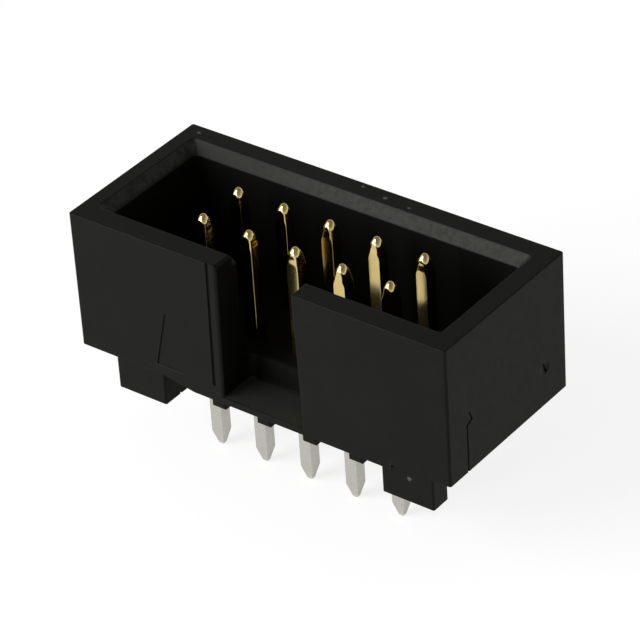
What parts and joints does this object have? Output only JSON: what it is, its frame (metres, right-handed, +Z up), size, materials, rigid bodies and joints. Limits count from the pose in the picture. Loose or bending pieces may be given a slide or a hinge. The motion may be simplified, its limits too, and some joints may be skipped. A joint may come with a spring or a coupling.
{
  "type": "pin header",
  "caption": "Straight shrouded pin header for a board: a keyed rectangular housing around two rows of square posts with solder tails.",
  "frame": {"origin": "centre of the pin pattern on the board plane, which is the plane of the feet", "axes": "+X along the pin rows, +Z up out of the open cavity, key slot on the -Y side, pin 1 at the -X end of the front row"},
  "size_m": [0.0204, 0.0088, 0.0125],
  "materials": {
    "housing_plastic": "satin moulded black",
    "pin_metal": "gold plated mating end, tinned tail"
  },
  "bodies": {
    "root": {"housing": "housing_plastic", "pin_1": "pin_metal", "pin_2": "pin_metal", "pin_3": "pin_metal", "pin_4": "pin_metal", "pin_5": "pin_metal", "pin_6": "pin_metal", "pin_7": "pin_metal", "pin_8": "pin_metal", "pin_9": "pin_metal", "pin_10": "pin_metal"}
  },
  "joints": []
}
